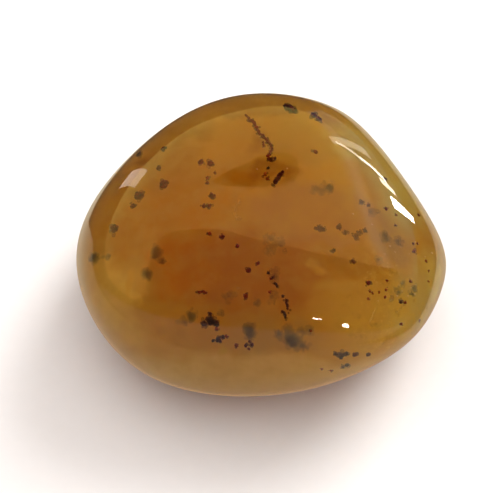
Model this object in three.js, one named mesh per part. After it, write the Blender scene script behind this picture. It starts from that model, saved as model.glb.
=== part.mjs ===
// Tumbled opal: a translucent honey-brown pebble, polished all over, with dark specks inside.
// It is one natural piece, worn round by tumbling, with softened faces that meet in broad edges.
// Millimetres, +X along its length, +Y away from its broad front, +Z up. The origin is on the
// small flat spot that it rests on, under the middle of the stone.

import * as THREE from "three";
import { mergeVertices } from "three/addons/utils/BufferGeometryUtils.js";

// Each worn face: the way it looks out, as degrees round from +X towards +Y and degrees above
// the level, and its distance from the heart of the stone.
const BROAD_FACES = [
  { name: "crown", around: -91, above: 88, distance: 8.9 },
  { name: "base", around: 0, above: -90, distance: 9.6 },
  { name: "front", around: -88, above: -14, distance: 14.5 },
  { name: "front slope", around: -100, above: 39, distance: 11.55 },
  { name: "front underside", around: -92, above: -47, distance: 13.35 },
  { name: "back", around: 84, above: 13, distance: 13.2 },
  { name: "back underside", around: 83, above: -54, distance: 11.4 },
  { name: "left end", around: 173, above: -4, distance: 16.85 },
  { name: "left slope", around: 172, above: 57, distance: 12.9 },
  { name: "right end", around: 2, above: -6, distance: 17.45 },
  { name: "right slope", around: 12, above: 54, distance: 11.0 },
  { name: "front left flank", around: -142, above: -19, distance: 15.75 },
  { name: "front right flank", around: -45, above: -28, distance: 13.85 },
  { name: "back left flank", around: 130, above: 14, distance: 13.6 },
];

// The flank at the back right is the flattest one, and it meets the crown in a tighter edge.
const FLAT_FLANK = { around: 36, above: 6, distance: 13.3 };

// How sharply faces meet: they blend into an ellipsoid at 2, and high powers leave crisp edges.
const BROAD_EDGE_POWER = 6;
const FLANK_EDGE_POWER = 14;

// Shallow hollows that the polish has followed: where they lie, how wide they are in degrees
// seen from the heart of the stone, and how deep they are.
const HOLLOWS = [
  { around: -100, above: 62, spread: 24, depth: 0.08 },
  { around: -160, above: 8, spread: 20, depth: 0.2 },
  { around: 100, above: 4, spread: 22, depth: 0.25 },
  { around: -20, above: -30, spread: 24, depth: 0.2 },
];

// The flat spot lies this far below the heart of the stone.
const FLAT_SPOT_DEPTH = 9.25;

// Each edge of the starting icosahedron is cut into this many pieces.
const EDGE_PIECES = 20;

const HONEY_BROWN = 0x97682a;

function facing({ around, above }) {
  const turn = THREE.MathUtils.degToRad(around);
  const rise = THREE.MathUtils.degToRad(above);
  const level = Math.cos(rise);
  return new THREE.Vector3(level * Math.cos(turn), level * Math.sin(turn), Math.sin(rise));
}

const broadFaces = BROAD_FACES.map((face) => ({ out: facing(face), distance: face.distance }));
const flatFlank = { out: facing(FLAT_FLANK), distance: FLAT_FLANK.distance };
const hollows = HOLLOWS.map((hollow) => ({
  out: facing(hollow),
  spread: THREE.MathUtils.degToRad(hollow.spread),
  depth: hollow.depth,
}));

// One over the distance out to a face in a direction: 0 where the face looks away.
function nearness(face, direction) {
  return Math.max(0, face.out.dot(direction)) / face.distance;
}

// The stone's radius in a direction: the worn faces blended, less the hollows.
function radiusAlong(direction) {
  const broad = broadFaces.reduce(
    (sum, face) => sum + nearness(face, direction) ** BROAD_EDGE_POWER,
    0,
  );
  const rounded = broad ** (FLANK_EDGE_POWER / BROAD_EDGE_POWER);
  const flank = nearness(flatFlank, direction) ** FLANK_EDGE_POWER;
  const worn = (rounded + flank) ** (-1 / FLANK_EDGE_POWER);
  const hollowed = hollows.reduce(
    (sum, { out, spread, depth }) => sum + depth * Math.exp(-((out.angleTo(direction) / spread) ** 2)),
    0,
  );
  return worn - hollowed;
}

// A fine sphere drawn in to the stone's radius, with everything below the flat spot drawn up to it.
function stoneGeometry() {
  const sphere = new THREE.IcosahedronGeometry(1, EDGE_PIECES - 1);
  sphere.deleteAttribute("normal");
  sphere.deleteAttribute("uv");
  const stone = mergeVertices(sphere);
  const corners = stone.getAttribute("position");
  const corner = new THREE.Vector3();
  for (let i = 0; i < corners.count; i += 1) {
    corner.fromBufferAttribute(corners, i).normalize();
    corner.multiplyScalar(radiusAlong(corner));
    if (corner.z < -FLAT_SPOT_DEPTH) corner.multiplyScalar(-FLAT_SPOT_DEPTH / corner.z);
    corners.setXYZ(i, corner.x, corner.y, corner.z);
  }
  stone.computeBoundingBox();
  const middle = stone.boundingBox.getCenter(new THREE.Vector3());
  stone.translate(-middle.x, -middle.y, FLAT_SPOT_DEPTH);
  stone.computeVertexNormals();
  return stone;
}

const opal = new THREE.Mesh(
  stoneGeometry(),
  new THREE.MeshStandardMaterial({ color: HONEY_BROWN, roughness: 0.08, metalness: 0 }),
);
opal.name = "opal";

const tumbledOpal = new THREE.Group();
tumbledOpal.add(opal);

export default tumbledOpal;
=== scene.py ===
import math

import bmesh
import bpy
import numpy as np
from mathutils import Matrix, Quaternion, Vector


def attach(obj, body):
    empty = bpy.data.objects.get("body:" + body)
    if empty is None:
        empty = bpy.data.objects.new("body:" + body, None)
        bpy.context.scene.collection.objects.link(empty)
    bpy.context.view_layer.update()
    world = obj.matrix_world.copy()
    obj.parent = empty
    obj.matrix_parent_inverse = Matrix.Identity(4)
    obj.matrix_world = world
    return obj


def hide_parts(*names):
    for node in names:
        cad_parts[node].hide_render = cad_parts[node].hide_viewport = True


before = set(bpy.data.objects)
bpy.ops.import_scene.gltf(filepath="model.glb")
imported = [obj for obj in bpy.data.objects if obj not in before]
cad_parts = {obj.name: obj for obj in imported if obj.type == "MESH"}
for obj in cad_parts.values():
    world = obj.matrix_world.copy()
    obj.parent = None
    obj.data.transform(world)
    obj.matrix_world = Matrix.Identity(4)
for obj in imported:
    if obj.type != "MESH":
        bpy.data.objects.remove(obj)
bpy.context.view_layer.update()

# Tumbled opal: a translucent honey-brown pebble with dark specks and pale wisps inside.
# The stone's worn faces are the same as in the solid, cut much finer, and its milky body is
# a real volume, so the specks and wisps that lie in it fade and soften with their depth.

MM = 0.001

# The worn faces, in degrees round from +X towards +Y, degrees above the level, and mm from
# the heart of the stone.
BROAD_FACES = {
    "crown": (-91, 88, 8.9),
    "base": (0, -90, 9.6),
    "front": (-88, -14, 14.5),
    "front slope": (-100, 39, 11.55),
    "front underside": (-92, -47, 13.35),
    "back": (84, 13, 13.2),
    "back underside": (83, -54, 11.4),
    "left end": (173, -4, 16.85),
    "left slope": (172, 57, 12.9),
    "right end": (2, -6, 17.45),
    "right slope": (12, 54, 11.0),
    "front left flank": (-142, -19, 15.75),
    "front right flank": (-45, -28, 13.85),
    "back left flank": (130, 14, 13.6),
}
FLAT_FLANK = (36, 6, 13.3)
BROAD_EDGE_POWER = 6
FLANK_EDGE_POWER = 14

# Shallow hollows: round, above, spread in degrees, depth in mm.
HOLLOWS = ((-100, 62, 24, 0.08), (-160, 8, 20, 0.2), (100, 4, 22, 0.25), (-20, -30, 24, 0.2))
FLAT_SPOT_DEPTH = 9.25
STONE_SUBDIVISIONS = 7

# The photograph's frame, and where the heart of the stone lies in it.
PHOTO_WIDTH, PHOTO_HEIGHT = 500, 493
HEART_PIXEL = (262, 246)
PIXELS_PER_MM = 11.8
CAMERA_ELEVATION = 60
CAMERA_DISTANCE = 220
SENSOR_WIDTH = 36

# The clear body bends light a little, and its polish a little more. Nothing inside the stone comes
# nearer to the outside than the polish is deep, in mm.
OPAL_IOR = 1.3
POLISH_IOR = 1.45
POLISH_ROUGHNESS = 0.015
POLISH_DEPTH = 0.04

# The milk in the body: how much it scatters, how far forward, and what it takes out of the light.
MILK_DENSITY = 260
MILK_FORWARD = 0.3
AMBER_DENSITY = 1700


def facing(around, above):
    """The unit vector that looks out at a bearing and a height, both in degrees."""
    turn = math.radians(around)
    rise = math.radians(above)
    return np.array([math.cos(rise) * math.cos(turn), math.cos(rise) * math.sin(turn), math.sin(rise)])


def stone_radius(directions):
    """The stone's radius in mm along each unit vector: the worn faces blended, less the hollows."""
    outward = np.array([facing(around, above) for around, above, _ in BROAD_FACES.values()])
    distances = np.array([distance for _, _, distance in BROAD_FACES.values()])
    nearness = np.maximum(0, directions @ outward.T) / distances
    rounded = (nearness**BROAD_EDGE_POWER).sum(axis=1) ** (FLANK_EDGE_POWER / BROAD_EDGE_POWER)
    flank = np.maximum(0, directions @ facing(*FLAT_FLANK[:2])) / FLAT_FLANK[2]
    radius = (rounded + flank**FLANK_EDGE_POWER) ** (-1 / FLANK_EDGE_POWER)
    for around, above, spread, depth in HOLLOWS:
        away = np.arccos(np.clip(directions @ facing(around, above), -1, 1))
        radius -= depth * np.exp(-((away / math.radians(spread)) ** 2))
    return radius


def sphere_points(subdivisions):
    """The corners of a fine icosphere of radius 1, and its triangles."""
    ball = bmesh.new()
    bmesh.ops.create_icosphere(ball, subdivisions=subdivisions, radius=1)
    points = np.array([corner.co[:] for corner in ball.verts])
    triangles = np.array([[corner.index for corner in face.verts] for face in ball.faces])
    ball.free()
    return points / np.linalg.norm(points, axis=1)[:, None], triangles


def add_object(name, data):
    piece = bpy.data.objects.new(name, data)
    bpy.context.scene.collection.objects.link(piece)
    return piece


def add_mesh(name, points, faces, material=None):
    """A smooth-shaded mesh object from points in metres."""
    mesh = bpy.data.meshes.new(name)
    mesh.from_pydata(points.tolist(), [], [list(face) for face in faces])
    mesh.polygons.foreach_set("use_smooth", [True] * len(mesh.polygons))
    if material:
        mesh.materials.append(material)
    return add_object(name, mesh)


def make_stone():
    """The polished stone, and the place of its heart, both in metres."""
    directions, triangles = sphere_points(STONE_SUBDIVISIONS)
    points = directions * stone_radius(directions)[:, None]
    low = points[:, 2] < -FLAT_SPOT_DEPTH
    points[low] *= (-FLAT_SPOT_DEPTH / points[low, 2])[:, None]
    middle = (points.max(axis=0) + points.min(axis=0)) / 2
    heart = np.array([-middle[0], -middle[1], FLAT_SPOT_DEPTH])
    return add_mesh("polished_stone", (points + heart) * MM, triangles), heart * MM


class Nodes:
    """A material's node tree, with short ways to add and join nodes."""

    def __init__(self, name):
        self.material = bpy.data.materials.new(name)
        self.material.use_nodes = True
        self.tree = self.material.node_tree
        self.shader = self.tree.nodes["Principled BSDF"]
        self.output = self.tree.nodes["Material Output"]

    def add(self, kind, inputs=None, **settings):
        node = self.tree.nodes.new(kind)
        for key, value in settings.items():
            setattr(node, key, value)
        for key, value in (inputs or {}).items():
            self.put(node.inputs[key], value)
        return node

    def put(self, socket, value):
        if isinstance(value, bpy.types.NodeSocket):
            self.tree.links.new(value, socket)
        else:
            socket.default_value = value

    def math(self, operation, *values):
        return self.add("ShaderNodeMath", dict(enumerate(values)), operation=operation).outputs[0]

    def vector(self, operation, *values):
        return self.add("ShaderNodeVectorMath", dict(enumerate(values)), operation=operation)

    def noise(self, coordinates, scale, detail=2.0, roughness=0.5):
        values = {"Vector": coordinates, "Scale": scale, "Detail": detail, "Roughness": roughness}
        return self.add("ShaderNodeTexNoise", values)

    def mix(self, share, under, over):
        node = self.add("ShaderNodeMix", data_type="RGBA")
        self.put(node.inputs["Factor"], share)
        self.put(node.inputs[6], under)
        self.put(node.inputs[7], over)
        return node.outputs[2]

    def ramp(self, value, low, high, bottom=0.0, top=1.0):
        values = {"Value": value, "From Min": low, "From Max": high, "To Min": bottom, "To Max": top}
        return self.add("ShaderNodeMapRange", values, interpolation_type="SMOOTHSTEP").outputs["Result"]


def colour(red, green, blue):
    return (red, green, blue, 1.0)


AMBER_TINT = colour(0.980, 0.946, 0.68)
BLACK = colour(0.0, 0.0, 0.0)

# The honey of the whole body, and zones of other tints in its skin, some of them painted light as
# marked: the pixel of the photograph at the zone's middle, its half sizes in mm along X, Y and Z,
# how strong it is, where it starts to fade, as a share of its half sizes, and its tint.
HONEY = colour(0.72, 0.52, 0.28)
ZONES = {
    # Painted light: the two pale skirts stand for the pale sheet mirrored in the thin lower edge and for
    # light glowing through that edge.
    "pale skirt": ((262, 386), (15.5, 6.0, 4.4), 1.0, 0.6, colour(0.98, 0.92, 0.78)),
    "pale skirt, left": ((162, 382), (6.0, 3.6, 4.4), 0.9, 0.3, colour(1.0, 1.0, 0.80)),
    # Partly painted light: pale wisps at the left, with the glow of light through the thin left edge
    # painted in.
    "pale left edge": ((108, 296), (4.2, 6.5, 6.0), 1.0, 0.1, colour(1.0, 0.98, 0.68)),
    "dark rim": ((254, 100), (10.6, 2.7, 5.0), 1.0, 0.5, colour(0.48, 0.34, 0.23)),
    "dark shoulder": ((184, 130), (5.2, 2.6, 4.0), 0.9, 0.3, colour(0.46, 0.34, 0.20)),
    "golden crown": ((304, 138), (7.4, 3.0, 4.0), 0.8, 0.3, colour(0.58, 0.50, 0.34)),
    "olive shoulder": ((356, 142), (3.2, 3.8, 3.5), 0.95, 0.4, colour(0.78, 0.94, 0.74)),
    "amber shoulder": ((165, 200), (4.6, 4.4, 4.0), 0.9, 0.4, colour(0.60, 0.33, 0.07)),
    "orange glow": ((208, 208), (3.6, 2.8, 4.0), 0.8, 0.2, colour(0.70, 0.38, 0.07)),
    "brown shoulder": ((158, 162), (5.0, 3.6, 3.5), 0.9, 0.3, colour(0.49, 0.30, 0.16)),
    "brown left side": ((124, 226), (3.0, 6.0, 4.0), 0.9, 0.3, colour(0.58, 0.34, 0.10)),
    "rusty mouth": ((238, 175), (2.8, 1.5, 3.0), 0.8, 0.4, colour(0.58, 0.30, 0.06)),
    "rusty mouth, right": ((273, 168), (2.4, 1.7, 3.0), 0.9, 0.5, colour(0.42, 0.20, 0.10)),
    # Partly painted reflection: a pinkish haze in the body together with the broad pale veil of the room
    # mirrored in the polish.
    "rosy haze and painted veil": ((326, 216), (7.6, 4.0, 4.0), 0.85, 0.6, colour(0.60, 0.43, 0.46)),
    "orange heart": ((190, 264), (4.6, 3.6, 5.0), 0.9, 0.5, colour(0.68, 0.29, 0.10)),
    "rusty heart": ((258, 274), (7.0, 4.8, 6.0), 0.9, 0.45, colour(0.55, 0.28, 0.24)),
    "rusty streak": ((350, 260), (4.6, 1.6, 3.0), 0.8, 0.3, colour(0.52, 0.34, 0.18)),
    "grey hem": ((265, 336), (6.0, 1.8, 3.0), 0.7, 0.3, colour(0.62, 0.56, 0.60)),
    "mottled grey": ((392, 250), (2.6, 1.8, 3.0), 0.7, 0.3, colour(0.52, 0.42, 0.40)),
    "olive flank": ((398, 186), (3.8, 6.6, 4.0), 0.95, 0.4, colour(0.80, 0.96, 0.76)),
    "yellow tip": ((434, 276), (2.2, 3.6, 4.0), 0.95, 0.4, colour(0.90, 1.0, 0.66)),
    "honey low right": ((365, 315), (6.5, 3.4, 4.0), 0.8, 0.3, colour(0.80, 0.70, 0.48)),
    "pale low right": ((420, 304), (4.0, 4.4, 4.0), 0.85, 0.3, colour(0.78, 0.86, 0.78)),
    "yellow wisp": ((338, 285), (4.2, 1.2, 2.4), 0.85, 0.2, colour(0.80, 0.70, 0.48)),
    "yellow wisp by the tip": ((404, 302), (1.6, 1.2, 2.0), 0.7, 0.2, colour(0.84, 0.72, 0.40)),
    "yellow band at the tip": ((432, 283), (1.1, 0.6, 1.2), 0.9, 0.2, colour(0.96, 0.92, 0.52)),
    "pale streak low left": ((133, 307), (2.2, 1.1, 1.5), 0.95, 0.2, colour(1.0, 0.98, 0.66)),
    "yellow streak at the left": ((126, 290), (0.7, 2.0, 1.6), 0.7, 0.2, colour(0.96, 0.80, 0.40)),
    "pale smear": ((318, 267), (1.0, 0.45, 0.9), 0.8, 0.2, colour(0.88, 0.74, 0.52)),
    "plum cloud along the vein": ((258, 141), (0.9, 1.5, 1.5), 0.8, 0.2, colour(0.40, 0.24, 0.18)),
    "brown cloud": ((140, 165), (1.8, 1.4, 1.8), 0.8, 0.2, colour(0.36, 0.20, 0.14)),
    # Painted reflection: a faint purplish-grey streak of the room mirrored beside the left window's
    # highlight.
    "painted grey reflection": ((116, 186), (1.0, 1.4, 1.8), 0.7, 0.2, colour(0.44, 0.34, 0.36)),
    "brown cloud by the vein": ((269, 165), (1.5, 1.6, 2.0), 0.6, 0.2, colour(0.34, 0.20, 0.12)),
    "green glow": ((216, 350), (1.0, 0.7, 1.2), 0.7, 0.1, colour(0.75, 0.78, 0.30)),
}

# Zones on the sides that the photograph hides, placed by degrees round and above the level.
HIDDEN_ZONES = {
    # Painted light: the pale back skirt stands for the pale sheet mirrored in the thin lower edge and for
    # light glowing through it, as at the front.
    "pale back skirt": ((88, -38), (14.0, 5.0, 3.6), 0.9, 0.5, colour(0.90, 0.80, 0.62)),
    "rusty back": ((112, 12), (6.5, 4.0, 4.5), 0.9, 0.3, colour(0.54, 0.29, 0.12)),
    "golden back": ((62, 18), (5.0, 4.0, 5.0), 0.8, 0.3, colour(0.74, 0.60, 0.34)),
    "rusty underside": ((-60, -75), (8.0, 6.0, 4.0), 0.8, 0.3, colour(0.56, 0.32, 0.14)),
    "rusty left end": ((-168, -25), (3.0, 4.0, 3.0), 0.7, 0.3, colour(0.60, 0.36, 0.16)),
    "pale right end": ((5, -30), (4.0, 4.5, 3.0), 0.7, 0.3, colour(0.86, 0.76, 0.56)),
}

# The right end is mottled: where, how far in mm, and noises of two scales per mm, with the range
# of the noise that shows, how strong it is and its tint.
MOTTLED_PIXEL = (396, 306)
MOTTLED_SIZES = (6.5, 5.5, 6.0)
MOTTLE_FADE = 0.4
MOTTLES = (
    (0.9, 0.48, 0.66, 0.5, colour(0.90, 0.82, 0.46)),
    (1.1, 0.56, 0.72, 0.6, colour(0.36, 0.26, 0.20)),
    (2.6, 0.58, 0.70, 0.7, colour(0.94, 0.86, 0.60)),
)

# A broad noise warps the zones' edges: its scale per mm, and how far it moves them in mm. A finer
# one clouds the whole skin: its scale, the range of it that shows, its strength and its tint.
WARP_SCALE = 0.22
WARP_REACH = 5.0
CLOUD_SCALE = 0.55
CLOUD_RANGE = (0.35, 0.75)
CLOUD_STRENGTH = 0.35
CLOUD_TINT = colour(0.72, 0.60, 0.40)


def soft_zone(nodes, coordinates, middle, half_sizes, strength, fade):
    """How much a zone covers each point: its strength in the middle, fading to 0 at its edge."""
    away = nodes.vector("SUBTRACT", coordinates, tuple(middle)).outputs[0]
    shares = nodes.vector("DIVIDE", away, tuple(half_sizes)).outputs[0]
    distance = nodes.vector("LENGTH", shares).outputs["Value"]
    return nodes.ramp(distance, fade, 1.0, strength, 0.0)


def scaled(nodes, vector, factor):
    node = nodes.vector("SCALE", vector)
    node.inputs["Scale"].default_value = factor
    return node.outputs[0]


def zoned_tint(nodes, seen):
    """The honey of the body with every zone, the mottles and the clouds laid over it."""
    in_mm = scaled(nodes, nodes.add("ShaderNodeTexCoord").outputs["Object"], 1 / MM)
    broad = nodes.noise(in_mm, WARP_SCALE, detail=3.0).outputs["Color"]
    drift = nodes.vector("SUBTRACT", broad, (0.5, 0.5, 0.5)).outputs[0]
    warped = nodes.vector("ADD", in_mm, scaled(nodes, drift, WARP_REACH)).outputs[0]
    tint = HONEY
    for way, half_sizes, strength, fade, zone_tint in HIDDEN_ZONES.values():
        out = facing(*way)
        middle = seen.heart / MM + out * stone_radius(out[None])[0]
        tint = nodes.mix(soft_zone(nodes, warped, middle, half_sizes, strength, fade), tint, zone_tint)
    for pixel, half_sizes, strength, fade, zone_tint in ZONES.values():
        middle = seen.inside(*pixel, 0) / MM
        tint = nodes.mix(soft_zone(nodes, warped, middle, half_sizes, strength, fade), tint, zone_tint)
    middle = seen.inside(*MOTTLED_PIXEL, 0) / MM
    mottled = soft_zone(nodes, warped, middle, MOTTLED_SIZES, 1.0, MOTTLE_FADE)
    for scale, low, high, strength, mottle in MOTTLES:
        spots = nodes.ramp(nodes.noise(in_mm, scale, detail=3.0, roughness=0.65).outputs["Fac"], low, high)
        share = nodes.math("MULTIPLY", nodes.math("MULTIPLY", spots, mottled), strength)
        tint = nodes.mix(share, tint, mottle)
    clouds = nodes.noise(in_mm, CLOUD_SCALE, detail=4.0, roughness=0.6).outputs["Fac"]
    share = nodes.math("MULTIPLY", nodes.ramp(clouds, *CLOUD_RANGE), CLOUD_STRENGTH)
    return nodes.mix(share, tint, CLOUD_TINT)


def milky_volume(nodes):
    """The milk that scatters light in the body, and the amber that takes out the blue."""
    milk = nodes.add("ShaderNodeVolumeScatter")
    milk.inputs["Color"].default_value = colour(1.0, 1.0, 1.0)
    milk.inputs["Density"].default_value = MILK_DENSITY
    milk.inputs["Anisotropy"].default_value = MILK_FORWARD
    amber = nodes.add("ShaderNodeVolumeAbsorption")
    amber.inputs["Color"].default_value = AMBER_TINT
    amber.inputs["Density"].default_value = AMBER_DENSITY
    return nodes.add("ShaderNodeAddShader", {0: milk.outputs[0], 1: amber.outputs[0]}).outputs[0]


def opal_material(seen):
    """Milky honey glass under a sharp polish, with tinted zones and a real volume inside."""
    nodes = Nodes("honey_opal")
    nodes.put(nodes.shader.inputs["Base Color"], zoned_tint(nodes, seen))
    nodes.put(nodes.output.inputs["Volume"], milky_volume(nodes))
    shader = nodes.shader.inputs
    shader["Roughness"].default_value = 0.0
    shader["IOR"].default_value = OPAL_IOR
    shader["Transmission Weight"].default_value = 1.0
    shader["Specular IOR Level"].default_value = 0.0
    shader["Coat Weight"].default_value = 1.0
    shader["Coat Roughness"].default_value = POLISH_ROUGHNESS
    shader["Coat IOR"].default_value = POLISH_IOR
    return nodes.material


# The patches of colour on a grain are fine: the scale of their noise per metre.
GRAIN_PATCHES = 2500.0


def grain_material(name, dark, light, cover):
    """A dull mineral, patched with two colours, that covers this share of what lies behind it."""
    nodes = Nodes(name)
    place = nodes.add("ShaderNodeTexCoord").outputs["Object"]
    patches = nodes.noise(place, GRAIN_PATCHES).outputs["Fac"]
    nodes.put(nodes.shader.inputs["Base Color"], nodes.mix(patches, dark, light))
    nodes.shader.inputs["Roughness"].default_value = 0.85
    nodes.shader.inputs["Specular IOR Level"].default_value = 0.1
    nodes.shader.inputs["Alpha"].default_value = cover
    return nodes.material


def make_camera(heart):
    data = bpy.data.cameras.new("camera")
    camera = add_object("camera", data)
    rise = math.radians(CAMERA_ELEVATION)
    towards = np.array([0, -math.cos(rise), math.sin(rise)])
    camera.location = Vector(heart + towards * CAMERA_DISTANCE * MM)
    camera.rotation_euler = (math.pi / 2 - rise, 0, 0)
    data.sensor_width = SENSOR_WIDTH
    data.lens = SENSOR_WIDTH * CAMERA_DISTANCE * PIXELS_PER_MM / PHOTO_WIDTH
    data.shift_x = (PHOTO_WIDTH / 2 - HEART_PIXEL[0]) / PHOTO_WIDTH
    data.shift_y = (HEART_PIXEL[1] - PHOTO_HEIGHT / 2) / PHOTO_WIDTH
    bpy.context.scene.camera = camera
    return towards


class SeenFrom:
    """Finds places inside the stone that show at a given pixel of the photograph."""

    def __init__(self, stone, heart, towards):
        rise = math.radians(CAMERA_ELEVATION)
        self.stone = stone
        self.heart = heart
        self.eye = heart + towards * CAMERA_DISTANCE * MM
        self.towards = towards
        self.up = np.array([0, math.sin(rise), math.cos(rise)])

    def inside(self, across, down, depth):
        """The point that shows at a pixel and lies depth mm along the bent ray under the polish."""
        sight = -self.towards * CAMERA_DISTANCE + self.up * (HEART_PIXEL[1] - down) / PIXELS_PER_MM
        sight[0] += (across - HEART_PIXEL[0]) / PIXELS_PER_MM
        sight /= np.linalg.norm(sight)
        hit, place, normal, _ = self.stone.ray_cast(Vector(self.eye), Vector(sight))
        if not hit:
            raise ValueError(f"no stone at pixel {across}, {down}")
        normal = np.array(normal)
        facing_share = -sight @ normal
        squeeze = 1 / OPAL_IOR
        bent_share = math.sqrt(1 - squeeze**2 * (1 - facing_share**2))
        bent = squeeze * sight + (squeeze * facing_share - bent_share) * normal
        return np.array(place) + bent * depth * MM


# How grains are grown, as shares of a speck's or a streak's radius: how uneven their skins are,
# how far out the small ones of a fringe lie and their size, how far a haze's lumps drift and their
# size, and how close the grains of a streak lie and their size.
GRAIN_LUMPINESS = 0.12
FRINGE_REACH = (0.45, 0.85)
FRINGE_SIZE = (0.2, 0.42)
HAZE_DRIFT = 0.45
HAZE_SIZE = (0.3, 0.6)
HAZE_LUMPINESS = 0.04
TRAIL_STEP = 0.6
TRAIL_SIZE = (0.8, 1.1)
TRAIL_LUMPINESS = 0.06


class Grains:
    """Collects small lumpy grains into one mesh, and keeps them all under the polish."""

    def __init__(self, random, heart, subdivisions):
        self.random = random
        self.heart = heart
        self.ball, self.triangles = sphere_points(subdivisions)
        self.points = []
        self.faces = []

    def grain(self, centre, radius, lumpiness=GRAIN_LUMPINESS):
        """One lump of the radius in mm at a centre in metres."""
        stretch = self.random.uniform(0.8, 1.2, 3)
        lumps = 1 + self.random.normal(0, lumpiness, len(self.ball))
        self.faces.append(self.triangles + len(self.ball) * len(self.points))
        self.points.append(centre + self.ball * lumps[:, None] * stretch * radius * MM)

    def haze(self, centre, radius, number):
        """See-through lumps, crowded in the middle, that fade a speck into the milk."""
        for _ in range(number):
            drift = self.random.normal(0, radius * HAZE_DRIFT, 3) * MM
            self.grain(centre + drift, radius * self.random.uniform(*HAZE_SIZE), HAZE_LUMPINESS)

    def trail(self, stops, radius, wander):
        """A streak of overlapping grains through a list of points in metres."""
        for start, end in zip(stops, stops[1:]):
            steps = max(2, int(np.linalg.norm(end - start) / (radius * TRAIL_STEP * MM)))
            for step in range(steps):
                drift = self.random.normal(0, radius * wander, 3) * MM
                place = start + (end - start) * step / steps + drift
                self.grain(place, radius * self.random.uniform(*TRAIL_SIZE), TRAIL_LUMPINESS)

    def object(self, name, material):
        """One mesh of all the grains, each corner drawn in to lie under the polish."""
        away = (np.concatenate(self.points) - self.heart) / MM
        reach = np.linalg.norm(away, axis=1)
        limit = stone_radius(away / reach[:, None]) - POLISH_DEPTH
        away *= np.minimum(1, limit / reach)[:, None]
        away[:, 2] = np.maximum(away[:, 2], POLISH_DEPTH - FLAT_SPOT_DEPTH)
        return add_mesh(name, self.heart + away * MM, np.concatenate(self.faces), material)


# Specks near the polish, sharp to the eye: the pixel across and down, and the radius in mm.
BLACK_SPECKS = (
    (271, 160, 0.22), (268, 168, 0.16), (274.8, 158.4, 0.14), (204, 324, 0.32), (210, 320.5, 0.42),
    (216, 323, 0.32), (210, 313.5, 0.15), (218.4, 339.7, 0.3), (223, 337, 0.2), (213, 340.6, 0.14),
    (268.5, 273, 0.13), (273, 277, 0.13), (283, 296.4, 0.15), (341, 356, 0.36), (336, 354, 0.22),
    (346.5, 354, 0.22), (347, 365, 0.25), (343, 367, 0.2), (401.3, 302, 0.2),
)
UMBER_SPECKS = (
    (201, 162, 0.26), (210.5, 163.5, 0.3), (211.7, 195.7, 0.27), (204, 206, 0.22), (209, 206, 0.24),
    (164.3, 184, 0.42), (139, 195.7, 0.42), (133, 206, 0.24), (163.5, 149, 0.24), (158.5, 168, 0.22),
    (114, 228.4, 0.4), (313.5, 115.5, 0.33), (318.5, 119, 0.28), (316, 152, 0.22), (222, 237, 0.2),
    (237.5, 246, 0.16), (248.8, 270.5, 0.22), (257.8, 263.4, 0.15), (355, 354.5, 0.24),
    (368.5, 354.5, 0.2), (368.3, 283, 0.22), (405, 302.5, 0.14), (410.4, 281.4, 0.16),
    (413.3, 243.6, 0.13), (417.5, 243.6, 0.11), (385, 179, 0.17),
)
RUST_SPECKS = (
    (245.6, 296, 0.22), (209.5, 233.5, 0.18), (265, 174, 0.2), (267.6, 178.7, 0.18), (207.5, 178, 0.17),
    (207.3, 182.5, 0.15), (214.6, 172.8, 0.13), (236.3, 345.5, 0.2), (216.6, 329, 0.16),
    (226.4, 336.6, 0.15), (271, 278.6, 0.16), (269.6, 292, 0.14), (385, 297, 0.14),
    (368.3, 298.7, 0.14), (370, 291.5, 0.12), (372.6, 293, 0.11), (379.3, 292.4, 0.11),
    (419.5, 321, 0.12), (414.3, 251, 0.18), (396.6, 215, 0.12), (322, 369, 0.12), (331, 370.5, 0.14),
    (311, 331, 0.13), (395.6, 225, 0.13), (386, 209, 0.16), (426.2, 261, 0.15), (428.6, 271, 0.11),
    (428.6, 281.4, 0.11), (401.3, 324, 0.14), (387, 280.5, 0.13), (386, 289.6, 0.13),
    (418.6, 215, 0.15),
)
PLUM_SPECKS = (
    (286.3, 106.3, 0.32), (289.5, 107.8, 0.38), (293.8, 110.5, 0.33), (246, 345.5, 0.19),
    (252, 345, 0.18), (249, 349, 0.12), (249.5, 341.5, 0.12),
)
# Rusty specks a little deeper, blurred by the haze: the pixel, the radius and the depth in mm.
HAZY_SPECKS = (
    (361.6, 202, 0.2, 0.5), (368.3, 205, 0.16, 0.6), (322.4, 228.8, 0.24, 0.5),
    (317.5, 228.5, 0.2, 0.6), (339, 227.8, 0.2, 0.5), (345.4, 232.6, 0.2, 0.5), (356, 236.5, 0.24, 0.5),
    (359.5, 232.5, 0.2, 0.6), (364.5, 230.5, 0.18, 0.6), (333.4, 250.8, 0.17, 0.4),
    (353, 261.8, 0.2, 0.4),
)
# Streaks: the mineral, the pixels that they run through, and the radius in mm.
VEINS = (
    ("umber", ((245.2, 114.6), (247.6, 117), (250.3, 119.7)), 0.10),
    ("umber", ((250.3, 119.7), (253, 122), (255.4, 124.8), (257, 128.5)), 0.15),
    ("umber", ((257, 128.5), (258.5, 132), (261, 135), (263.4, 137)), 0.12),
    ("umber", ((263.4, 137), (266.5, 139.6), (268.4, 142), (270.9, 145.3)), 0.13),
    ("umber", ((263.2, 142), (263.8, 146.5)), 0.09),
    ("umber", ((270.9, 145.3), (272, 149), (270.4, 153)), 0.11),
    ("umber", ((270, 153), (267.5, 156), (268.6, 160)), 0.11),
    ("plum", ((286, 301), (287.3, 305), (288, 309.5)), 0.11),
    ("black", ((282, 311), (284.5, 314), (285.8, 318)), 0.1),
    ("black", ((275, 283), (277.8, 286.8)), 0.1),
    ("plum", ((281.3, 172), (278, 178), (274.6, 184)), 0.17),
    ("rust", ((198, 292), (202, 291.6), (205.5, 292.4)), 0.11),
)

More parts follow.
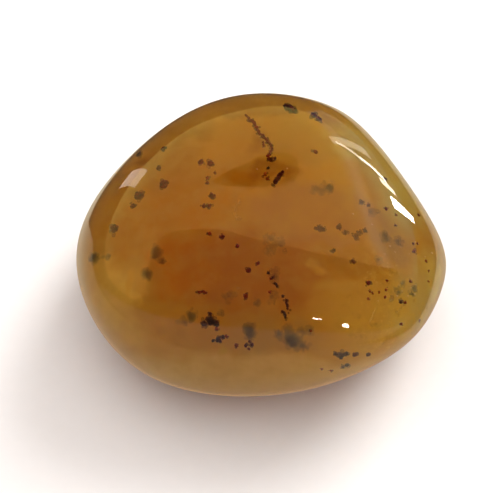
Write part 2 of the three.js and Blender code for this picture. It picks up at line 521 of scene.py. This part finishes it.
# Specks deep in the milk, soft to the eye: the pixel, the radius in mm, the depth in mm, and how
# dark they are.
DEEP_SPECKS = (
    (94, 258, 0.42, 0.7, 1.0), (155, 253, 0.5, 1.0, 0.7), (162, 260.5, 0.3, 1.1, 0.4),
    (147, 274, 0.42, 1.0, 0.7), (192, 316.5, 0.45, 1.1, 0.8), (183, 322, 0.4, 1.5, 0.3),
    (229, 296.4, 0.5, 1.6, 0.2), (257.7, 302.7, 0.3, 1.6, 0.4), (273, 297.3, 0.4, 1.6, 0.3),
    (249.2, 329, 0.52, 0.9, 1.0), (250, 335, 0.4, 1.1, 0.6), (290, 340, 0.5, 0.8, 1.1),
    (295, 343, 0.5, 1.0, 0.5), (303, 345.5, 0.35, 1.0, 0.5), (289, 331, 0.5, 1.5, 0.5),
    (279, 334, 0.4, 1.3, 0.5), (302, 331, 0.4, 1.4, 0.4), (310, 331, 0.35, 1.3, 0.4),
    (329.3, 188, 0.36, 0.9, 1.0), (321, 191, 0.45, 1.4, 0.35), (314, 189, 0.35, 1.4, 0.25),
    (273, 247, 0.6, 2.0, 0.22), (281, 243, 0.5, 2.0, 0.22), (398.5, 291, 0.3, 0.8, 0.4),
    (414.3, 289, 0.34, 0.7, 0.4), (412, 294, 0.25, 0.8, 0.4), (392, 298, 0.25, 1.0, 0.3),
    (372, 213, 0.4, 1.5, 0.25), (402, 283, 0.3, 1.1, 0.2), (274, 276, 0.5, 1.2, 0.25),
    (108, 256, 0.3, 1.2, 0.3), (139, 154, 0.35, 0.7, 0.6), (221, 313, 0.3, 1.4, 0.3),
    (379, 260, 0.4, 1.2, 0.2), (386, 238, 0.5, 1.2, 0.3), (398, 241, 0.4, 1.2, 0.3),
    (270, 238, 0.5, 1.8, 0.25),
)

# How many see-through lumps soften a deep speck of darkness 1, and the size in mm of the dark
# grains in its middle.
DEEP_LUMPS = 60
DEEP_GRAIN_SIZE = (0.03, 0.06)

# Each kind of sharp speck: its places, the minerals of its core and its fringe, and the share of
# its radius that the main grain takes up.
SPECK_KINDS = (
    (BLACK_SPECKS, "black", "plum", 0.72),
    (UMBER_SPECKS, "umber", "plum", 0.88),
    (RUST_SPECKS, "rust", "umber", 0.76),
    (PLUM_SPECKS, "plum", "umber", 0.85),
)
CORE_SHARE = 0.72

# Sharp specks lie this far under the polish in mm, more than their radius. A haze of stain round
# each is this much wider than the speck, and of so many lumps.
SPECK_COVER = 0.08
STAIN_WIDTH = 1.1
STAIN_LUMPS = 9
HAZY_STAIN_LUMPS = 26
HAZY_CORE = 0.5

# Streaks lie this far under the polish in mm, wander by this share of their radius, and have a
# haze of stain at each stop.
VEIN_COVER = 0.1
VEIN_WANDER = 0.3
VEIN_STAIN_WIDTH = 1.8
VEIN_STAIN_LUMPS = 4
THREAD_WANDER = 0.6
FLECK_COVER = 0.15

# Clusters of specks on the sides that the photograph hides: how many, how many specks each has,
# how far they spread in mm, and the half angle in degrees round the way to the camera that stays
# as the photograph shows it.
HIDDEN_CLUSTERS = 26
HIDDEN_SPECKS = (2, 7)
HIDDEN_SPREAD = 1.3
SHOWN_ANGLE = 100
HIDDEN_MINERALS = ("black", "rust", "plum")

# The specks hidden there: their radius in mm, how deep they mostly lie under the polish in mm, and
# the depth past which one shows only as a haze.
HIDDEN_SIZE = (0.12, 0.3)
HIDDEN_DEPTH = 0.35
CLOUDED_DEPTH = 0.9

# Pale threads, the first of them a painted reflection, a thin pale line at the edge of the mirrored
# veil: the pixels that they run through, and the radius and the depth in mm.
PALE_THREADS_AND_REFLECTED_LINE = (
    (((241, 200), (238, 204), (235, 210), (235, 216), (240, 221)), 0.16, 0.4),
    (((376, 308), (373, 312), (372, 317), (370, 322)), 0.1, 0.4),
    (((331, 181), (333, 184), (336, 186)), 0.07, 0.3),
    (((236.5, 287.6), (241, 288.6)), 0.08, 0.3),
    (((406, 303), (401, 308), (397, 313)), 0.09, 0.4),
)
# Pale flecks near the polish, the first two of them painted glints: the pixel, and the radius in mm.
PALE_FLECKS_AND_GLINTS = (
    (257, 169, 0.09), (287, 168.5, 0.1), (353, 214, 0.1), (372, 224.5, 0.08), (432, 253, 0.14),
    (425, 257, 0.08), (397, 296, 0.1), (415, 294, 0.1), (415, 242, 0.08), (345, 357, 0.05),
    (365, 287, 0.05), (371, 296, 0.05), (378, 301, 0.06), (366, 305, 0.04), (399, 285, 0.06),
    (402, 291, 0.07), (408, 296, 0.08), (411, 288, 0.06), (416, 285, 0.06), (398, 299, 0.05),
    (390, 246, 0.09), (395, 252, 0.07), (401, 247, 0.06), (385, 254, 0.07), (409, 254, 0.06),
)


# Each mineral: how finely its grains are cut, its two colours, and the share that one grain covers
# of what lies behind it.
MINERALS = {
    "black": (2, colour(0.010, 0.005, 0.004), colour(0.03, 0.012, 0.008), 1.0),
    "umber": (2, colour(0.11, 0.006, 0.006), colour(0.17, 0.010, 0.012), 1.0),
    "rust": (2, colour(0.18, 0.022, 0.006), colour(0.30, 0.05, 0.010), 1.0),
    "plum": (2, colour(0.04, 0.006, 0.006), colour(0.08, 0.012, 0.012), 1.0),
    "deep": (2, colour(0.006, 0.008, 0.010), colour(0.015, 0.015, 0.018), 1.0),
    "stain": (2, colour(0.12, 0.03, 0.02), colour(0.2, 0.05, 0.03), 0.2),
    "shade": (2, colour(0.03, 0.018, 0.012), colour(0.05, 0.03, 0.022), 0.075),
    # The pale grains also make the two painted glints, and the wisp grains the painted reflection line.
    "pale": (1, colour(0.75, 0.60, 0.36), colour(0.85, 0.72, 0.48), 1.0),
    "wisp": (1, colour(0.75, 0.56, 0.30), colour(0.85, 0.70, 0.42), 0.03),
}


def random_way(random):
    """A unit vector that looks any way."""
    way = random.normal(0, 1, 3)
    return way / np.linalg.norm(way)


def cluster(random, centre, radius, core, fringe, share=CORE_SHARE):
    """A speck: a main grain, smaller ones grown round it, and grains of another mineral between."""
    core.grain(centre, radius * share)
    for number in range(6 + int(radius * 20)):
        way = random_way(random)
        reach = radius * random.uniform(*FRINGE_REACH)
        grown = core if number % 3 else fringe
        grown.grain(centre + way * reach * MM, radius * random.uniform(*FRINGE_SIZE))


def grow_shown_specks(random, seen, grains):
    """The specks, streaks, threads and flecks that the photograph shows, each at its pixel, two flecks
    being painted glints and one thread a painted reflection.
    """
    for specks, core, fringe, share in SPECK_KINDS:
        for across, down, radius in specks:
            centre = seen.inside(across, down, radius + SPECK_COVER)
            cluster(random, centre, radius, grains[core], grains[fringe], share)
            grains["stain"].haze(centre, radius * STAIN_WIDTH, STAIN_LUMPS)
    for across, down, radius, depth in HAZY_SPECKS:
        centre = seen.inside(across, down, depth)
        cluster(random, centre, radius * HAZY_CORE, grains["rust"], grains["rust"])
        grains["stain"].haze(centre, radius * STAIN_WIDTH, HAZY_STAIN_LUMPS)
    for mineral, pixels, radius in VEINS:
        stops = [seen.inside(*pixel, radius + VEIN_COVER) for pixel in pixels]
        grains[mineral].trail(stops, radius, VEIN_WANDER)
        for stop in stops:
            grains["stain"].haze(stop, radius * VEIN_STAIN_WIDTH, VEIN_STAIN_LUMPS)
    for across, down, radius, depth, darkness in DEEP_SPECKS:
        centre = seen.inside(across, down, depth + radius)
        for _ in range(int(5 * darkness) + 1):
            away = random.normal(0, radius * 0.15, 3) * MM
            grains["deep"].grain(centre + away, random.uniform(*DEEP_GRAIN_SIZE))
        grains["shade"].haze(centre, radius, int(DEEP_LUMPS * darkness))
    # The first line drawn here is a painted reflection of the mirrored veil's edge.
    for pixels, radius, depth in PALE_THREADS_AND_REFLECTED_LINE:
        stops = [seen.inside(*pixel, depth) for pixel in pixels]
        grains["wisp"].trail(stops, radius, THREAD_WANDER)
    # The first two flecks are painted glints.
    for across, down, radius in PALE_FLECKS_AND_GLINTS:
        centre = seen.inside(across, down, radius + FLECK_COVER)
        cluster(random, centre, radius, grains["pale"], grains["pale"])


def grow_hidden_specks(random, seen, grains):
    """Clusters of specks at random places on the sides that the photograph hides."""
    made = 0
    while made < HIDDEN_CLUSTERS:
        way = random_way(random)
        if way @ seen.towards > math.cos(math.radians(SHOWN_ANGLE)):
            continue
        made += 1
        mineral = grains[HIDDEN_MINERALS[made % len(HIDDEN_MINERALS)]]
        for _ in range(random.integers(*HIDDEN_SPECKS)):
            turned = way * stone_radius(way[None])[0] + random.normal(0, HIDDEN_SPREAD, 3)
            turned /= np.linalg.norm(turned)
            radius = random.uniform(*HIDDEN_SIZE)
            depth = radius * 1.2 + random.exponential(HIDDEN_DEPTH)
            centre = seen.heart + turned * (stone_radius(turned[None])[0] - depth) * MM
            if depth > CLOUDED_DEPTH:
                grains["shade"].haze(centre, radius * 1.6, DEEP_LUMPS // 2)
            else:
                cluster(random, centre, radius, mineral, grains["plum"])
                grains["stain"].haze(centre, radius * STAIN_WIDTH, STAIN_LUMPS)


def add_specks(seen):
    """All that lies inside the stone, in one mesh for each mineral."""
    random = np.random.default_rng(seed=11)
    grains = {name: Grains(random, seen.heart, look[0]) for name, look in MINERALS.items()}
    grow_shown_specks(random, seen, grains)
    grow_hidden_specks(random, seen, grains)
    return [
        grains[name].object(name + "_specks", grain_material(name + "_grain", dark, light, cover))
        for name, (_, dark, light, cover) in MINERALS.items()
    ]


# Lights that the polish mirrors, and nothing else shows: degrees round, degrees above the level,
# the roll in degrees, length and width in mm, radiance, and tint.
MIRRORED_LIGHTS = {
    "window strip": (48.8, 22.0, 63, (118, 8), 5.5, (1.0, 0.99, 0.9)),
    "window strip 2": (44.5, 11.5, 74.5, (124, 8), 10, (1.0, 0.99, 0.9)),
    "window sill": (42.4, 6.8, 83, (80, 7), 9, (1.0, 0.9, 0.74)),
    "window pane": (50.0, 18.0, 77, (240, 28), 2.0, (1.0, 0.90, 0.72)),
    "low window": (40.3, 2.4, 84, (128, 10), 45, (1.0, 1.0, 1.0)),
    "left window": (131.4, 10.7, 88, (250, 46), 2.2, (1.0, 0.85, 0.72)),
    "front lamp": (-96.1, 35.6, 0, (24, 12), 28, (1.0, 0.98, 0.92)),
    "front lamp 2": (-85.2, 30.9, 0, (26, 52), 60, (1.0, 0.99, 0.95)),
}
MIRRORED_DISTANCE = 600

# A dim ceiling that the polish mirrors as a warm veil over the crown, yellower at its far end and
# paler at its right side, where it fades out, and a dark bar just below it: their corners in mm
# from the heart of the stone, their heights, and where along Y and X the other tints take over.
CEILING_EDGE = (
    (-500, -600), (-340, -160), (-302, -81), (-267, 24), (-241, 100), (-188, 130), (-141, 132),
    (-74, 126), (-40, 118), (-23, 104), (1, 105), (103, 123), (263, 208), (480, 330), (666, 442),
    (900, 600), (1300, 800), (2200, 1300), (2200, 2400), (1200, 1700), (800, 1500), (304, 1350),
    (64, 1060), (-68, 880), (-157, 860), (-275, 900), (-429, 1020), (-778, 1300), (-1500, 1900),
    (-1500, -300), (-900, -900),
)
CEILING_HEIGHT = 500
CEILING_RADIANCE = 1.15
CEILING_TINT = colour(1.0, 0.60, 0.19)
FAR_CEILING_TINT = colour(1.0, 0.88, 0.26)
FAR_CEILING = (300, 900)
SIDE_CEILING_TINT = colour(0.85, 0.92, 0.72)
SIDE_CEILING = (480, 760)
CEILING_FADE = (620, 1200)
BAR_EDGE = (
    (-96, 271), (-71, 276), (-42, 280), (-7, 286), (39, 304), (91, 325), (149, 347), (179, 351),
    (167, 330), (132, 302), (92, 278), (25, 250), (-24, 244), (-65, 253),
)
BAR_HEIGHT = 495

# Lights that the polish doesn't mirror, which light the sheet and the body of the stone.
BODY_LIGHTS = {
    "key": (45, 43, 0, (440, 440), 6.9, (1.0, 1.0, 0.99)),
    "sky": (90, 88, 0, (1400, 1400), 1.55, (1.0, 0.94, 0.91)),
}
BODY_DISTANCE = 800

# A pale slope low in front, which the polish mirrors just above the skirt: its corners in mm from
# the heart of the stone, its tint and its radiance.
FRONT_WALL = ((-1800, -172, -9), (1800, -172, -9), (1800, -900, 300), (-1800, -900, 300))
WALL_TINT = colour(0.88, 0.95, 1.0)
WALL_RADIANCE = 0.36

# A dim bluish wall behind at the right, which the polish of the flat flank mirrors: its corners
# in mm from the heart of the stone, its tint, its radiance, and where along Y it fades out.
SIDE_WALL = ((1480, 150, -9), (600, 1500, -9), (600, 1500, 520), (1480, 150, 520))
SIDE_WALL_TINT = colour(0.25, 0.88, 1.0)
SIDE_WALL_RADIANCE = 0.44
SIDE_WALL_FADE = (950, 300)

# The corners in mm of the part of the sheet that the polish mirrors.
MIRRORED_SHEET = ((-150, -160), (34, -160), (34, 47), (-12, 22), (-27, 14), (-110, 50), (-150, 50))
MIRRORED_SHEET_LIFT = 0.05
SHEET_TINT = colour(1.0, 0.90, 0.64)
SHEET_RADIANCE = 0.72
SHEET_SHADOW = (16, 13, 10)
SHADOW_TINT = colour(0.58, 0.32, 0.16)

# The sheet that the stone lies on: half its side in mm, and its tints. The room's own dim light.
SHEET_HALF_SIDE = 800
PAPER_TINTS = (colour(0.84, 0.825, 0.815), colour(0.87, 0.855, 0.845))
ROOM_TINT = colour(1.0, 0.98, 0.97)
ROOM_STRENGTH = 0.05

# A pale ring round the sheet, for views from low down.
BACKDROP_SIDES = 48
BACKDROP_RADIUS = 790
BACKDROP_HEIGHT = 900
BACKDROP_TINTS = (colour(0.93, 0.91, 0.90), colour(0.97, 0.95, 0.94))


def soft_light(name, heart, distance, around, above, roll, size, radiance, tint):
    """A rectangular studio light that looks at the stone, with its sizes in mm."""
    data = bpy.data.lights.new(name, "AREA")
    data.shape = "RECTANGLE"
    data.size, data.size_y = size[0] * MM, size[1] * MM
    data.energy = 4 * radiance * data.size * data.size_y
    data.color = tint
    light = add_object(name, data)
    out = facing(around, above)
    light.location = Vector(heart + out * distance * MM)
    aim = Vector(out).to_track_quat("Z", "Y") @ Quaternion((0, 0, 1), math.radians(roll))
    light.rotation_euler = aim.to_euler()
    return light


def hide_from_light(thing):
    """Keeps a light or a card from lighting the stone and the sheet."""
    thing.visible_diffuse = False
    thing.visible_transmission = False
    thing.visible_volume_scatter = False
    thing.visible_shadow = False


def only_mirrored(thing):
    """Lets a light or a card show in the polish and nowhere else."""
    thing.visible_camera = False
    hide_from_light(thing)


def glow(nodes, tint, radiance):
    """Makes a stage material that only glows."""
    nodes.put(nodes.shader.inputs["Base Color"], BLACK)
    nodes.put(nodes.shader.inputs["Emission Color"], tint)
    nodes.put(nodes.shader.inputs["Emission Strength"], radiance)
    nodes.shader.inputs["Specular IOR Level"].default_value = 0.0


def mirrored_card(name, corners, tint, radiance, shadow=None, other_tints=()):
    """A flat card that only the polish mirrors, glowing in a tint, from its corners in metres.

    A shadow, given by its half sizes in mm, darkens the card round the origin. Other tints take
    over along an axis, from one place to another in mm.
    """
    nodes = Nodes(name)
    place = nodes.add("ShaderNodeTexCoord").outputs["Object"]
    grain = nodes.noise(place, 40.0).outputs["Fac"]
    tint = nodes.mix(nodes.math("MULTIPLY", grain, 0.1), tint, BLACK)
    if shadow:
        shares = nodes.vector("DIVIDE", scaled(nodes, place, 1 / MM), shadow).outputs[0]
        away = nodes.vector("LENGTH", shares).outputs["Value"]
        tint = nodes.mix(nodes.ramp(away, 0.8, 1.8, 0.85, 0.0), tint, SHADOW_TINT)
    for axis, (start, end), other_tint in other_tints:
        along = nodes.add("ShaderNodeSeparateXYZ", {"Vector": scaled(nodes, place, 1 / MM)}).outputs[axis]
        tint = nodes.mix(nodes.ramp(along, start, end), tint, other_tint)
    glow(nodes, tint, radiance)
    card = add_mesh(name, corners, [range(len(corners))], nodes.material)
    only_mirrored(card)


def add_backdrop():
    """A pale ring round the sheet that only the camera sees."""
    nodes = Nodes("pale_backdrop")
    place = nodes.add("ShaderNodeTexCoord").outputs["Object"]
    glow(nodes, nodes.mix(nodes.noise(place, 3.0).outputs["Fac"], *BACKDROP_TINTS), 1.0)
    turns = np.radians(np.arange(BACKDROP_SIDES) * 360 / BACKDROP_SIDES)
    ring = np.stack([np.cos(turns), np.sin(turns), np.zeros(BACKDROP_SIDES)], axis=1) * BACKDROP_RADIUS
    top = ring + (0, 0, BACKDROP_HEIGHT)
    sides = [(k, (k + 1) % BACKDROP_SIDES) for k in range(BACKDROP_SIDES)]
    faces = [(a, b, b + BACKDROP_SIDES, a + BACKDROP_SIDES) for a, b in sides]
    backdrop = add_mesh("backdrop", np.concatenate([ring, top]) * MM, faces, nodes.material)
    hide_from_light(backdrop)
    backdrop.visible_glossy = False


def add_sheet():
    """The pale sheet under the stone. The polish mirrors a card in its place."""
    paper = Nodes("paper")
    place = paper.add("ShaderNodeTexCoord").outputs["Object"]
    fibres = paper.noise(place, 900.0, detail=3.0).outputs["Fac"]
    paper.put(paper.shader.inputs["Base Color"], paper.mix(fibres, *PAPER_TINTS))
    paper.shader.inputs["Roughness"].default_value = 0.95
    paper.shader.inputs["Specular IOR Level"].default_value = 0.05
    corners = np.array([(-1, -1, 0), (1, -1, 0), (1, 1, 0), (-1, 1, 0)]) * SHEET_HALF_SIDE * MM
    triangles = np.array([(0, 1, 2), (0, 2, 3)])
    floor = add_mesh("paper_floor", corners, triangles, paper.material)
    floor.visible_glossy = False


def add_mirrored_room(heart):
    """The cards and lights of a dim room past the near part of the sheet, for the polish alone."""
    near = np.array([(*corner, MIRRORED_SHEET_LIFT) for corner in MIRRORED_SHEET]) * MM
    mirrored_card("mirrored_sheet", near, SHEET_TINT, SHEET_RADIANCE, SHEET_SHADOW)
    for name, settings in MIRRORED_LIGHTS.items():
        only_mirrored(soft_light(name, heart, MIRRORED_DISTANCE, *settings))
    ceiling = heart + np.array([(*corner, CEILING_HEIGHT) for corner in CEILING_EDGE]) * MM
    ceiling_tints = (
        ("Y", FAR_CEILING, FAR_CEILING_TINT),
        ("X", SIDE_CEILING, SIDE_CEILING_TINT),
        ("X", CEILING_FADE, BLACK),
    )
    mirrored_card("ceiling", ceiling, CEILING_TINT, CEILING_RADIANCE, other_tints=ceiling_tints)
    mirrored_card("front_wall", heart + np.array(FRONT_WALL) * MM, WALL_TINT, WALL_RADIANCE)
    side_wall = heart + np.array(SIDE_WALL) * MM
    side_tints = (("Y", SIDE_WALL_FADE, BLACK),)
    mirrored_card("side_wall", side_wall, SIDE_WALL_TINT, SIDE_WALL_RADIANCE, other_tints=side_tints)
    bar = heart + np.array([(*corner, BAR_HEIGHT) for corner in BAR_EDGE]) * MM
    mirrored_card("dark_bar", bar, BLACK, 0)


def make_studio(heart):
    add_sheet()
    add_backdrop()
    add_mirrored_room(heart)
    for name, settings in BODY_LIGHTS.items():
        light = soft_light(name, heart, BODY_DISTANCE, *settings)
        light.visible_glossy = False
        light.visible_camera = False
    room = bpy.data.worlds.new("studio")
    bpy.context.scene.world = room
    room.use_nodes = True
    dim = room.node_tree.nodes["Background"]
    dim.inputs["Color"].default_value = ROOM_TINT
    dim.inputs["Strength"].default_value = ROOM_STRENGTH


def main():
    stone, heart = make_stone()
    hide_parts("opal")
    towards = make_camera(heart)
    bpy.context.view_layer.update()
    seen = SeenFrom(stone, heart, towards)
    stone.data.materials.append(opal_material(seen))
    for piece in [stone, *add_specks(seen)]:
        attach(piece, "root")
    make_studio(heart)
    scene = bpy.context.scene
    scene.view_settings.view_transform = "Standard"
    # Light scatters many times in the milky body before it comes out.
    scene.cycles.max_bounces = 32
    scene.cycles.volume_bounces = 24
    scene.cycles.transmission_bounces = 16
    scene.cycles.transparent_max_bounces = 32


main()
